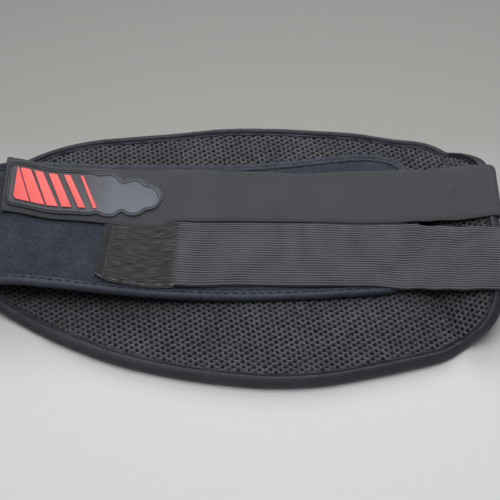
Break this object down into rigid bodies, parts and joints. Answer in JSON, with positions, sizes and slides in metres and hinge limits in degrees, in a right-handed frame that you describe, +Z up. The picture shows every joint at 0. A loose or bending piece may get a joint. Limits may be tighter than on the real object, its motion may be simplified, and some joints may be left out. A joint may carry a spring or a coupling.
{
  "type": "kidney belt",
  "caption": "Padded kidney belt, closed and lying flat: curved mesh back panel, loop-fabric wing folded over it, smooth and ribbed straps with hook pads, and a soft rubber badge.",
  "frame": {"origin": "under the middle of the closed belt, on the surface that it lies on", "axes": "+X along the belt from the left fold to the straps' turn at the right, +Y from the belt's lower edge to its upper edge as worn, +Z up, out of the belt's front"},
  "size_m": [0.4205, 0.2475, 0.0435],
  "materials": {
    "air_mesh": "dark charcoal 3-D spacer mesh with a staggered net of oval holes",
    "panel_tape": "matt woven binding tape",
    "loop_fabric": "brushed navy loop fabric",
    "wing_tape": "matt stretch binding tape, stitched",
    "smooth_strap": "fine plain-woven grey strap",
    "ribbed_strap": "ribbed grey elastic",
    "upper_hook": "dark hook tape",
    "lower_hook": "dark hook tape with a lighter cut edge",
    "rubber": "soft satin moulded rubber",
    "coral_rubber": "soft satin moulded rubber"
  },
  "bodies": {
    "root": {"back_panel": "air_mesh", "panel_binding": "panel_tape", "front_wing": "loop_fabric", "wing_binding": "wing_tape", "upper_strap": "smooth_strap", "lower_strap": "ribbed_strap", "upper_hook_pad": "upper_hook", "lower_hook_pad": "lower_hook", "patch": "rubber", "stripe_1": "coral_rubber", "stripe_2": "coral_rubber", "stripe_3": "coral_rubber", "stripe_4": "coral_rubber", "stripe_5": "coral_rubber", "stripe_6": "coral_rubber"}
  },
  "joints": []
}
